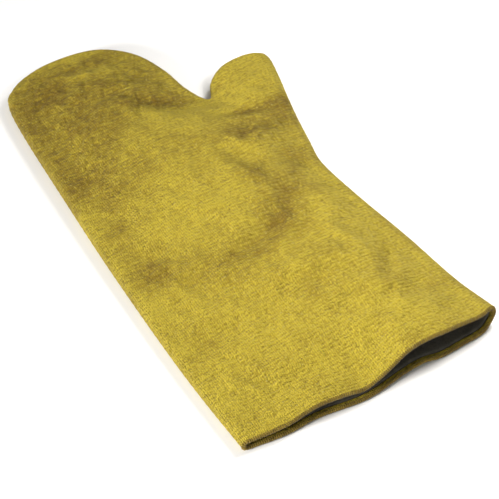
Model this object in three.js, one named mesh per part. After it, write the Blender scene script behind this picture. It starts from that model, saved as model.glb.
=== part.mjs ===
import * as THREE from "three";
import { mergeVertices } from "three/addons/utils/BufferGeometryUtils.js";

// A long heat mitten lying on its palm, in millimetres: +X is the thumb's side, +Y the
// fingertips, +Z up. Its cuff edge faces -Y. The origin is the middle of its footprint.

// Layers of cloth, outside to inside
const clothThick = 2.2;
const liningThick = 1.2;
const hemThick = 4.6;
const pieceGap = 0.3;

// Cuff
const cuffY = -190;
const hemDepth = 9;
const hemBackY = cuffY + hemDepth;
const clothStartY = hemBackY + pieceGap;
// Up to this far from the cuff its sides are cut square across, then less and less
const squareReach = 20;
const squareFade = 60;

// How far inside its edge the cloth takes to reach its full height
const riseRun = 14;

// The outline seen from above, from the cuff's left corner round the fingertips, the
// crotch and the thumb to the cuff's right corner. roll is the radius of the side there.
const outline = [
  { x: -101, y: -190, roll: 5 },
  { x: -103, y: -115, roll: 5 },
  { x: -101, y: -20, roll: 5.5 },
  { x: -97, y: 60, roll: 6 },
  { x: -92.5, y: 130, roll: 5.5 },
  { x: -88, y: 163, roll: 5.2, mark: "tipLeft" },
  { x: -80, y: 174, roll: 5.2 },
  { x: -67, y: 182, roll: 5.2 },
  { x: -46, y: 187, roll: 5.5 },
  { x: -19, y: 185.5, roll: 6 },
  { x: 1, y: 178, roll: 6 },
  { x: 18, y: 160, roll: 6, mark: "tipRight" },
  { x: 27, y: 134, roll: 6 },
  { x: 30.5, y: 109, roll: 6 },
  { x: 38.5, y: 91.5, roll: 5.5, mark: "crotch" },
  { x: 48, y: 106, roll: 6 },
  { x: 62, y: 115.5, roll: 7, mark: "thumbLeft" },
  { x: 80, y: 118.5, roll: 7 },
  { x: 93, y: 115.5, roll: 7 },
  { x: 99.5, y: 107, roll: 7, mark: "thumbRight" },
  { x: 94.5, y: 84, roll: 8 },
  { x: 83.5, y: 46, roll: 8.5 },
  { x: 75.5, y: 12, roll: 8.5, mark: "wrist" },
  { x: 71, y: -12, roll: 8.5 },
  { x: 74, y: -52, roll: 9 },
  { x: 80.5, y: -100, roll: 9 },
  { x: 85, y: -150, roll: 9.6 },
  { x: 90.5, y: -190, roll: 11.5 },
];

// Height of the upper side above the floor, one row for each cross-section, at five
// stations across it
const stations = [-80, -40, 0, 40, 80];
const sections = [
  { y: -190, outer: 12, outerMid: 15, middle: 18, innerMid: 28.5, inner: 28 },
  { y: -140, outer: 15, outerMid: 18, middle: 22, innerMid: 28, inner: 26 },
  { y: -80, outer: 17, outerMid: 21, middle: 25, innerMid: 28, inner: 25 },
  { y: -10, outer: 18, outerMid: 24, middle: 26, innerMid: 27, inner: 23 },
  { y: 50, outer: 18, outerMid: 24, middle: 26, innerMid: 25, inner: 23 },
  { y: 100, outer: 17, outerMid: 22, middle: 22, innerMid: 20, inner: 22 },
  { y: 150, outer: 14, outerMid: 19, middle: 18, innerMid: 17, inner: 20 },
  { y: 190, outer: 12, outerMid: 15, middle: 14, innerMid: 14, inner: 14 },
];

// Folds and dents of the upper side: middle, heading from +X in degrees, reach along and
// across it, and rise, below zero for a dent
const folds = [
  { x: 50, y: -52, heading: -68, along: 38, across: 13, rise: 4 },
  { x: 16, y: -42, heading: 34, along: 46, across: 12, rise: -4 },
  { x: 5, y: -92, heading: -8, along: 40, across: 12, rise: 2.5 },
  { x: 58, y: 56, heading: -14, along: 26, across: 9, rise: -4.5 },
  { x: 42, y: 81, heading: 14, along: 30, across: 9, rise: 3.5 },
  { x: 45, y: 26, heading: -8, along: 28, across: 10, rise: 3 },
  { x: 58, y: -6, heading: -45, along: 15, across: 9, rise: -4 },
  { x: 22, y: 10, heading: -40, along: 16, across: 9, rise: -2 },
  { x: 5, y: 98, heading: -26, along: 26, across: 9, rise: -3 },
  { x: -78, y: 56, heading: 20, along: 22, across: 12, rise: -2.5 },
  { x: -84, y: -32, heading: 15, along: 22, across: 12, rise: -2.5 },
  { x: -78, y: -112, heading: 10, along: 26, across: 11, rise: -2.5 },
  { x: -45, y: -165, heading: 8, along: 30, across: 9, rise: -1.5 },
  { x: 54, y: -108, heading: 60, along: 18, across: 9, rise: -2.5 },
  { x: 58, y: -146, heading: -5, along: 20, across: 9, rise: -2.5 },
  { x: -16, y: -192, heading: 84, along: 34, across: 11, rise: -3 },
  { x: 17, y: -192, heading: 84, along: 40, across: 12, rise: 3 },
  { x: -56, y: 150, heading: 30, along: 26, across: 12, rise: -2 },
];

// Waves of the cuff edge: how far it reaches past cuffY, and the lower lip's lift
const lipWaves = [
  { x: -101, reach: -4, lift: 0 },
  { x: -72, reach: -1, lift: 0 },
  { x: -48, reach: -1.5, lift: 0.5 },
  { x: -15, reach: 2, lift: 0 },
  { x: 20, reach: -1.5, lift: 2 },
  { x: 32, reach: -2, lift: 2.5 },
  { x: 45, reach: -1, lift: 0.5 },
  { x: 62, reach: -2, lift: 0.5 },
  { x: 76, reach: -3, lift: 2 },
  { x: 91, reach: -7, lift: 0 },
];
const lipWaveRun = 55;

// Faces along each stretch of the surface
const gauntletRows = 14;
const thumbRows = 7;
const fingerRows = 10;
const tipRows = 7;
const acrossRows = 18;
const outerArcSteps = 3;
const innerArcSteps = 2;

// A smooth curve through values, read at position t counted in rows
function splineAt(values, t) {
  const last = values.length - 1;
  const i = Math.min(Math.max(Math.floor(t), 0), last - 1);
  const f = Math.min(Math.max(t, 0), last) - i;
  const [p0, p1, p2, p3] = [i - 1, i, i + 1, i + 2].map(
    (k) => values[Math.min(Math.max(k, 0), last)],
  );
  const m1 = (p2 - p0) / 2;
  const m2 = (p3 - p1) / 2;
  return (
    (2 * f ** 3 - 3 * f ** 2 + 1) * p1 +
    (f ** 3 - 2 * f ** 2 + f) * m1 +
    (3 * f ** 2 - 2 * f ** 3) * p2 +
    (f ** 3 - f ** 2) * m2
  );
}

// Position of v in a rising list, counted in rows
function rowOf(list, v) {
  const last = list.length - 1;
  if (v <= list[0]) return 0;
  if (v >= list[last]) return last;
  const i = list.findIndex((s) => s > v) - 1;
  return i + (v - list[i]) / (list[i + 1] - list[i]);
}

const mix = THREE.MathUtils.lerp;
const fadeOver = (distance, run) => 1 - THREE.MathUtils.smoothstep(distance, 0, run);

// The outline as one curve
const outlineX = outline.map((p) => p.x);
const outlineY = outline.map((p) => p.y);
const outlineRoll = outline.map((p) => p.roll);
const markAt = (mark) => outline.findIndex((p) => p.mark === mark);
const edgeAt = (t) => new THREE.Vector2(splineAt(outlineX, t), splineAt(outlineY, t));
const rollAt = (t) => splineAt(outlineRoll, t);

// Unit vector into the cloth. Near the cuff it points straight across, so that the cuff's
// edge lies in one plane.
function inwardAt(t) {
  const step = 0.02;
  const way = edgeAt(t + step).sub(edgeAt(t - step)).normalize();
  const inward = new THREE.Vector2(way.y, -way.x);
  const square = fadeOver(edgeAt(t).y - clothStartY - squareReach, squareFade);
  return inward.lerp(new THREE.Vector2(Math.sign(inward.x), 0), square).normalize();
}

// Where the outline crosses a height y, between two positions on it
function crossingOf(y, from, to) {
  let [low, high] = edgeAt(from).y < edgeAt(to).y ? [from, to] : [to, from];
  for (let i = 0; i < 40; i++) {
    const middle = (low + high) / 2;
    if (edgeAt(middle).y < y) low = middle;
    else high = middle;
  }
  return (low + high) / 2;
}

// The outline as short chords, to find a point's distance from it
const chordsPerRow = 25;
const chords = [];
for (let i = 0; i <= (outline.length - 1) * chordsPerRow; i++)
  chords.push({ at: edgeAt(i / chordsPerRow), roll: rollAt(i / chordsPerRow) });

function nearestEdge(x, y) {
  let best = null;
  let least = Infinity;
  for (const chord of chords) {
    const distance = (chord.at.x - x) ** 2 + (chord.at.y - y) ** 2;
    if (distance < least) [best, least] = [chord, distance];
  }
  return { distance: Math.sqrt(least), roll: best.roll };
}

// Share of the full height that the cloth has reached at a distance inside its roll
function riseShare(x, y) {
  const { distance, roll } = nearestEdge(x, y);
  const run = Math.max(distance - roll, 0) / riseRun;
  return { share: 1 - (1 + run) * Math.exp(-run), roll };
}

const sectionYs = sections.map((s) => s.y);
const sectionRows = ["outer", "outerMid", "middle", "innerMid", "inner"].map((name) =>
  sections.map((s) => s[name]),
);

function crownAt(x, y) {
  const row = rowOf(sectionYs, y);
  return splineAt(
    sectionRows.map((column) => splineAt(column, row)),
    rowOf(stations, x),
  );
}

function foldsAt(x, y) {
  let rise = 0;
  for (const fold of folds) {
    const way = THREE.MathUtils.degToRad(fold.heading);
    const dx = x - fold.x;
    const dy = y - fold.y;
    const along = (dx * Math.cos(way) + dy * Math.sin(way)) / fold.along;
    const across = (dy * Math.cos(way) - dx * Math.sin(way)) / fold.across;
    rise += fold.rise * Math.exp(-(along ** 2) - across ** 2);
  }
  return rise;
}

const waveXs = lipWaves.map((w) => w.x);
const waveAt = (name, x) =>
  splineAt(
    lipWaves.map((w) => w[name]),
    rowOf(waveXs, x),
  );

// Height of the upper and the lower side, inset is the depth of cloth outside this layer
function upperZ(x, y, inset) {
  const { share, roll } = riseShare(x, y);
  return mix(2 * roll, crownAt(x, y) + foldsAt(x, y), share) - inset;
}
function lowerZ(x, y, inset) {
  const { share } = riseShare(x, y);
  const lift = Math.max(waveAt("lift", x), 0);
  return inset + lift * share * fadeOver(y - cuffY, lipWaveRun);
}

// A point on the rounded side: angle is 0 at its outermost line, 90 degrees on top and
// -90 degrees on the floor
function sidePoint(edge, inward, roll, angle, inset) {
  const radius = roll - inset;
  const at = edge.clone().addScaledVector(inward, roll - radius * Math.cos(angle));
  return new THREE.Vector3(at.x, at.y, roll + radius * Math.sin(angle));
}

// Positions on the outline where the mesh has its lines, in one list of stretches
const [tipLeft, tipRight, crotch, thumbLeft, thumbRight, wrist] = [
  "tipLeft", "tipRight", "crotch", "thumbLeft", "thumbRight", "wrist",
].map(markAt);
const end = outline.length - 1;
const steps = (from, to, count) =>
  Array.from({ length: count }, (_, i) => mix(from, to, (i + 1) / count));
const wristY = outline[wrist].y;
const crotchY = outline[crotch].y;
const gauntletYs = [clothStartY, ...steps(clothStartY, wristY, gauntletRows)];
const palmYs = steps(wristY, crotchY, thumbRows);
const leftTs = [...gauntletYs, ...palmYs].map((y) => crossingOf(y, 0, tipLeft));
const rightTs = gauntletYs.map((y) => crossingOf(y, wrist, end)).reverse();
rightTs[0] = wrist;
const lines = [
  ...leftTs,
  ...steps(leftTs.at(-1), tipLeft, fingerRows),
  ...steps(tipLeft, tipRight, acrossRows),
  ...steps(tipRight, crotch, fingerRows),
  ...steps(crotch, thumbLeft, tipRows),
  ...steps(thumbLeft, thumbRight, thumbRows),
  ...steps(thumbRight, wrist, tipRows),
  ...rightTs.slice(1),
];
const rim = lines.map((t) => ({ edge: edgeAt(t), inward: inwardAt(t), roll: rollAt(t) }));

// The inner border of the rounded side, where the flat field starts
const border = rim.map((r) => r.edge.clone().addScaledVector(r.inward, r.roll));
const leftTop = leftTs.length - 1;
const cornerLeft = leftTop + fingerRows;
const cornerRight = cornerLeft + acrossRows;
const crotchLine = cornerRight + fingerRows;
const thumbLeftLine = crotchLine + tipRows;
const thumbRightLine = thumbLeftLine + thumbRows;
const wristLine = thumbRightLine + tipRows;

const between = (a, b, count) =>
  Array.from({ length: count + 1 }, (_, i) => a.clone().lerp(b, i / count));

// A patch between four sides that share their corners
function patch(bottom, top, left, right) {
  const rows = left.length - 1;
  const columns = bottom.length - 1;
  return left.map((_, j) =>
    bottom.map((_, i) => {
      const u = i / columns;
      const v = j / rows;
      const across = left[j].clone().lerp(right[j], u);
      const along = bottom[i].clone().lerp(top[i], v);
      const corners = bottom[0].clone().lerp(bottom[columns], u);
      corners.lerp(top[0].clone().lerp(top[columns], u), v);
      return across.add(along).sub(corners);
    }),
  );
}

const thumbBase = between(border[wristLine], border[crotchLine], thumbRows);
const cuffRow = between(border[0], border.at(-1), acrossRows);
const palmTop = between(border[leftTop], border[crotchLine], acrossRows);
const body = patch(cuffRow, palmTop, border.slice(0, leftTop + 1), [
  ...border.slice(wristLine).reverse(),
  ...thumbBase.slice(1),
]);
const fingers = patch(
  palmTop,
  border.slice(cornerLeft, cornerRight + 1),
  border.slice(leftTop, cornerLeft + 1),
  border.slice(cornerRight, crotchLine + 1).reverse(),
);

function thumbNet(base, side) {
  const [left, right] = [tipRows, tipRows + thumbRows];
  return patch(
    base.slice().reverse(),
    side.slice(left, right + 1),
    side.slice(0, left + 1),
    side.slice(right).reverse(),
  );
}
const thumb = thumbNet(thumbBase, border.slice(crotchLine, wristLine + 1));

// The thumb's own halves start a gap beyond the line from the wrist to the crotch
const baseWay = thumbBase.at(-1).clone().sub(thumbBase[0]).normalize();
const baseNormal = new THREE.Vector2(baseWay.y, -baseWay.x);
function beyondCut(r) {
  const way = new THREE.Vector2(-r.inward.y, r.inward.x);
  const edge = r.edge.clone().addScaledVector(way, pieceGap / way.dot(baseNormal));
  return { ...r, edge };
}
const thumbRim = rim.slice(crotchLine, wristLine + 1);
thumbRim[0] = beyondCut(thumbRim[0]);
thumbRim.push(beyondCut(thumbRim.pop()));
const thumbBorder = thumbRim.map((r) => r.edge.clone().addScaledVector(r.inward, r.roll));
const cutBase = between(thumbBorder.at(-1), thumbBorder[0], thumbRows);

// A solid is gathered as loose triangles, then its equal corners are joined
class Skin {
  corners = [];

  triangle(a, b, c) {
    for (const p of [a, b, c]) this.corners.push(p.x, p.y, p.z);
  }

  // A grid of points, with its faces on the left of its rows unless it is turned
  grid(rows, turned = false) {
    for (let j = 1; j < rows.length; j++)
      for (let i = 1; i < rows[j].length; i++) {
        const [a, b] = [rows[j - 1][i - 1], rows[j - 1][i]];
        const [c, d] = [rows[j][i], rows[j][i - 1]];
        if (turned) {
          this.triangle(a, d, c);
          this.triangle(a, c, b);
        } else {
          this.triangle(a, b, c);
          this.triangle(a, c, d);
        }
      }
  }

  mesh(name, material) {
    const soup = new THREE.BufferGeometry();
    const values = new Float32Array(this.corners);
    soup.setAttribute("position", new THREE.BufferAttribute(values, 3));
    bendLip(soup.attributes.position);
    const geometry = mergeVertices(soup, 1e-3);
    geometry.computeVertexNormals();
    const made = new THREE.Mesh(geometry, material);
    made.name = name;
    return made;
  }
}

// The cuff's edge waves in and out of its plane
function bendLip(position) {
  for (let i = 0; i < position.count; i++) {
    const y = position.getY(i);
    const share = fadeOver(y - cuffY, lipWaveRun);
    position.setY(i, y - waveAt("reach", position.getX(i)) * share);
  }
}

const raise = (points, height, inset) =>
  points.map((row) =>
    row.map((p) => new THREE.Vector3(p.x, p.y, height(p.x, p.y, inset))),
  );

// The parts that a layer can be made of. Each has nets for its upper side, a net and
// one flat loop for its lower side, stretches of the rim, and the walls that close it,
// each along a row from one line of the rim to another.
const flatRow = body.findIndex((row) => row[0].y > cuffY + lipWaveRun);
const waved = body.slice(0, flatRow + 1);
const wavedEnd = body[flatRow].slice().reverse();
const cuffWall = { first: rim[0], row: cuffRow, last: rim.at(-1) };
const wholePart = {
  nets: [body, fingers, thumb],
  waved,
  loop: [...wavedEnd, ...border.slice(flatRow + 1, border.length - flatRow - 1)],
  rims: [rim],
  walls: [cuffWall],
};
const handPart = {
  nets: [body, fingers],
  waved,
  loop: [
    ...wavedEnd,
    ...border.slice(flatRow + 1, crotchLine + 1),
    ...thumbBase.slice(1, -1).reverse(),
    ...border.slice(wristLine, border.length - flatRow - 1),
  ],
  rims: [rim.slice(0, crotchLine + 1), rim.slice(wristLine)],
  walls: [cuffWall, { first: rim[wristLine], row: thumbBase, last: rim[crotchLine] }],
};
const cutNet = thumbNet(cutBase, thumbBorder);
const thumbPart = {
  nets: [cutNet],
  waved: cutNet,
  loop: [],
  rims: [thumbRim],
  walls: [{ first: thumbRim[0], row: cutBase.slice().reverse(), last: thumbRim.at(-1) }],
};

// The upper side of a part, facing up, or down where turned
function upperField(skin, { nets }, inset, turned) {
  for (const net of nets) skin.grid(raise(net, upperZ, inset), turned);
}

// The lower side: waved near the cuff, and one flat face beyond
function lowerField(skin, { waved, loop }, inset, turned) {
  skin.grid(raise(waved, lowerZ, inset), !turned);
  if (!loop.length) return;
  for (const face of THREE.ShapeUtils.triangulateShape(loop, [])) {
    const [a, b, c] = face.map((k) => new THREE.Vector3(loop[k].x, loop[k].y, inset));
    const area = (b.x - a.x) * (c.y - a.y) - (b.y - a.y) * (c.x - a.x);
    if (area > 0 === turned) skin.triangle(a, b, c);
    else skin.triangle(a, c, b);
  }
}

const halfTurn = Math.PI / 2;

// A point of the rounded side on one line of the rim. The outermost one moves by split
// along Z, and the last one takes the height of the field that it borders.
function rimPoint(r, angle, inset, split = 0) {
  const at = sidePoint(r.edge, r.inward, r.roll, angle, inset);
  if (angle === 0) at.z += split;
  if (angle === halfTurn) at.z = upperZ(at.x, at.y, inset);
  if (angle === -halfTurn) at.z = lowerZ(at.x, at.y, inset);
  return at;
}

// The rounded side between two angles
const sideStrip = (lines, inset, from, to, count, split) =>
  [from, ...steps(from, to, count)].map((angle) =>
    lines.map((r) => rimPoint(r, angle, inset, split)),
  );

// A wall that closes a part between its outer and inner surfaces
function endWall(skin, { first, row, last }, side, outer, inner, turned, split) {
  const quarter = side * halfTurn;
  const height = side > 0 ? upperZ : lowerZ;
  const line = ([inset, arcSteps]) => {
    const angles = [0, ...steps(0, quarter, arcSteps)];
    const arc = (r) => angles.map((angle) => rimPoint(r, angle, inset, split));
    const field = raise([row], height, inset)[0].slice(1, -1);
    return [arc(first), field, arc(last).reverse()];
  };
  const [outerLine, innerLine] = [line(outer), line(inner)];
  const crest = (parts) => [parts[0].at(-1), ...parts[1], parts[2][0]];
  skin.grid([crest(outerLine), crest(innerLine)], !turned);
  fan(skin, outerLine[0], innerLine[0], !turned);
  fan(skin, outerLine[2], innerLine[2], !turned);
}

// Faces between two arcs that have different numbers of steps
function fan(skin, outer, inner, turned) {
  let [i, j] = [0, 0];
  while (i < outer.length - 1 || j < inner.length - 1) {
    const outerNext = (i + 1) / (outer.length - 1);
    const innerNext = (j + 1) / (inner.length - 1);
    const onOuter = outerNext <= innerNext;
    const next = onOuter ? outer[i + 1] : inner[j + 1];
    if (turned) skin.triangle(outer[i], inner[j], next);
    else skin.triangle(outer[i], next, inner[j]);
    if (onOuter) i++;
    else j++;
  }
}

// A part of one of the two cloth panels. side is 1 for the back of the hand and -1 for
// the palm.
function clothPanel(name, part, side, material) {
  const skin = new Skin();
  const split = (side * pieceGap) / 2;
  const field = side > 0 ? upperField : lowerField;
  field(skin, part, 0, false);
  field(skin, part, clothThick, true);
  for (const lines of part.rims) {
    const outer = sideStrip(lines, 0, 0, side * halfTurn, outerArcSteps, split);
    const inner = sideStrip(lines, clothThick, 0, side * halfTurn, innerArcSteps, split);
    skin.grid(outer, side > 0);
    skin.grid(inner, side < 0);
    skin.grid([outer[0], inner[0]], side < 0);
  }
  const [outer, inner] = [
    [0, outerArcSteps],
    [clothThick, innerArcSteps],
  ];
  for (const wall of part.walls) endWall(skin, wall, side, outer, inner, side < 0, split);
  return skin.mesh(name, material);
}

// The lining bag, one closed layer inside both panels
function liningBag(name, material) {
  const skin = new Skin();
  const outerInset = clothThick + pieceGap;
  const innerInset = outerInset + liningThick;
  for (const [inset, turned] of [
    [outerInset, false],
    [innerInset, true],
  ]) {
    upperField(skin, wholePart, inset, turned);
    lowerField(skin, wholePart, inset, turned);
    skin.grid(sideStrip(rim, inset, -halfTurn, halfTurn, 2 * innerArcSteps), !turned);
  }
  const [outer, inner] = [
    [outerInset, innerArcSteps],
    [innerInset, innerArcSteps],
  ];
  for (const side of [1, -1]) endWall(skin, cuffWall, side, outer, inner, side < 0, 0);
  return skin.mesh(name, material);
}

// The turned edge of the cuff: a flat band swept round the mouth, with a round nose
function cuffHem(name, material) {
  const skin = new Skin();
  const radius = hemThick / 2;
  const noseSteps = 4;
  const nose = [0, ...steps(0, Math.PI, noseSteps)].map((angle) => ({
    y: cuffY + radius - radius * Math.sin(angle),
    inset: radius - radius * Math.cos(angle),
  }));
  const profile = [{ y: hemBackY, inset: 0 }, ...nose, { y: hemBackY, inset: hemThick }];
  profile.push(profile[0]);
  const rings = profile.map(({ y, inset }) => mouthRing(y, inset));
  skin.grid(rings, true);
  return skin.mesh(name, material);
}

// The mouth's outline at one y and depth in the cloth, up the left side, over the top,
// down the right side and back along the floor
function mouthRing(y, inset) {
  const [left, right] = [crossingOf(y, 0, 1), crossingOf(y, end - 1, end)].map((t) => ({
    edge: edgeAt(t),
    roll: rollAt(t),
  }));
  const [inRight, inLeft] = [new THREE.Vector2(1, 0), new THREE.Vector2(-1, 0)];
  const arc = (from, to) => steps(from, to, outerArcSteps);
  const row = (height) =>
    steps(0, 1, acrossRows).map((u) => {
      const x = mix(left.edge.x + left.roll, right.edge.x - right.roll, u);
      return new THREE.Vector3(x, y, height(x, y, inset));
    });
  const leftPoint = (a) => sidePoint(left.edge, inRight, left.roll, a, inset);
  const rightPoint = (a) => sidePoint(right.edge, inLeft, right.roll, a, inset);
  return [
    leftPoint(0),
    ...arc(0, halfTurn).map(leftPoint),
    ...row(upperZ).slice(0, -1),
    rightPoint(halfTurn),
    ...arc(halfTurn, 0).map(rightPoint),
    ...arc(0, -halfTurn).map(rightPoint),
    ...row(lowerZ).slice(0, -1).reverse(),
    leftPoint(-halfTurn),
    ...arc(-halfTurn, 0).map(leftPoint),
  ];
}

const clothLook = new THREE.MeshStandardMaterial({
  color: 0xb8a040,
  roughness: 0.95,
  metalness: 0,
});
const hemLook = clothLook.clone();
hemLook.color.set(0xa08a38);
const liningLook = new THREE.MeshStandardMaterial({
  color: 0x35332e,
  roughness: 1,
  metalness: 0,
});

const mitten = new THREE.Group();
mitten.add(
  clothPanel("back_panel", handPart, 1, clothLook),
  clothPanel("palm_panel", handPart, -1, clothLook),
  clothPanel("back_thumb", thumbPart, 1, clothLook),
  clothPanel("palm_thumb", thumbPart, -1, clothLook),
  liningBag("lining", liningLook),
  cuffHem("cuff_hem", hemLook),
);

// The origin goes to the middle of the footprint
const box = new THREE.Box3().setFromObject(mitten);
const middle = box.getCenter(new THREE.Vector3());
mitten.position.set(-middle.x, -middle.y, -box.min.z);

export default mitten;
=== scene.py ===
import math

import bpy
import numpy as np
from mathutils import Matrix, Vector, noise


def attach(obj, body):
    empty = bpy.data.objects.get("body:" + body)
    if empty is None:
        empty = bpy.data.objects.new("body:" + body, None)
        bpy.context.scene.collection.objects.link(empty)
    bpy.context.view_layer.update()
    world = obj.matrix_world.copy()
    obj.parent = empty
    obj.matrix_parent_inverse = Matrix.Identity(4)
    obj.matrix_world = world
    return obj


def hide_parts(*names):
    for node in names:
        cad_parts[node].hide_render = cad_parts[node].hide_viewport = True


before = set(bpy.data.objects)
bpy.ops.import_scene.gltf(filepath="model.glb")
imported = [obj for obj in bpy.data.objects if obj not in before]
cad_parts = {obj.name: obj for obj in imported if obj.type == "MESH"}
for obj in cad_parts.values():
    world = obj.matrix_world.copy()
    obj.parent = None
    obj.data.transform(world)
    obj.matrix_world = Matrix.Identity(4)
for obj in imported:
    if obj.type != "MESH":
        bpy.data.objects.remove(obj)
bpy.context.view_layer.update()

mm = 0.001
quarterTurn = math.pi / 2
weldSteps = 2e4  # corners that agree to a 20,000th of a millimetre are one

# The camera looks down at the mitten from its outer side, with a long lens
cameraLook = {
    "target": (-0.00825, -0.04264, 0.0),
    "azimuth": -31.37,  # degrees round from the cuff
    "elevation": 46.98,  # degrees above the floor
    "distance": 1.115,
    "lens": 120.03,
}


def newObject(name, data):
    made = bpy.data.objects.new(name, data)
    bpy.context.collection.objects.link(made)
    return made


def makeCamera(look):
    turn, lift = math.radians(look["azimuth"]), math.radians(look["elevation"])
    flat = math.cos(lift)
    back = Vector((math.sin(turn) * flat, -math.cos(turn) * flat, math.sin(lift)))
    data = bpy.data.cameras.new("photoCamera")
    data.lens = look["lens"]
    data.sensor_width = 36
    data.clip_start = 0.05
    camera = newObject("photoCamera", data)
    camera.location = Vector(look["target"]) + back * look["distance"]
    camera.rotation_euler = (-back).to_track_quat("-Z", "Y").to_euler()
    bpy.context.scene.camera = camera


makeCamera(cameraLook)
bpy.context.scene.view_settings.view_transform = "Standard"
print("camera ready")

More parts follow.
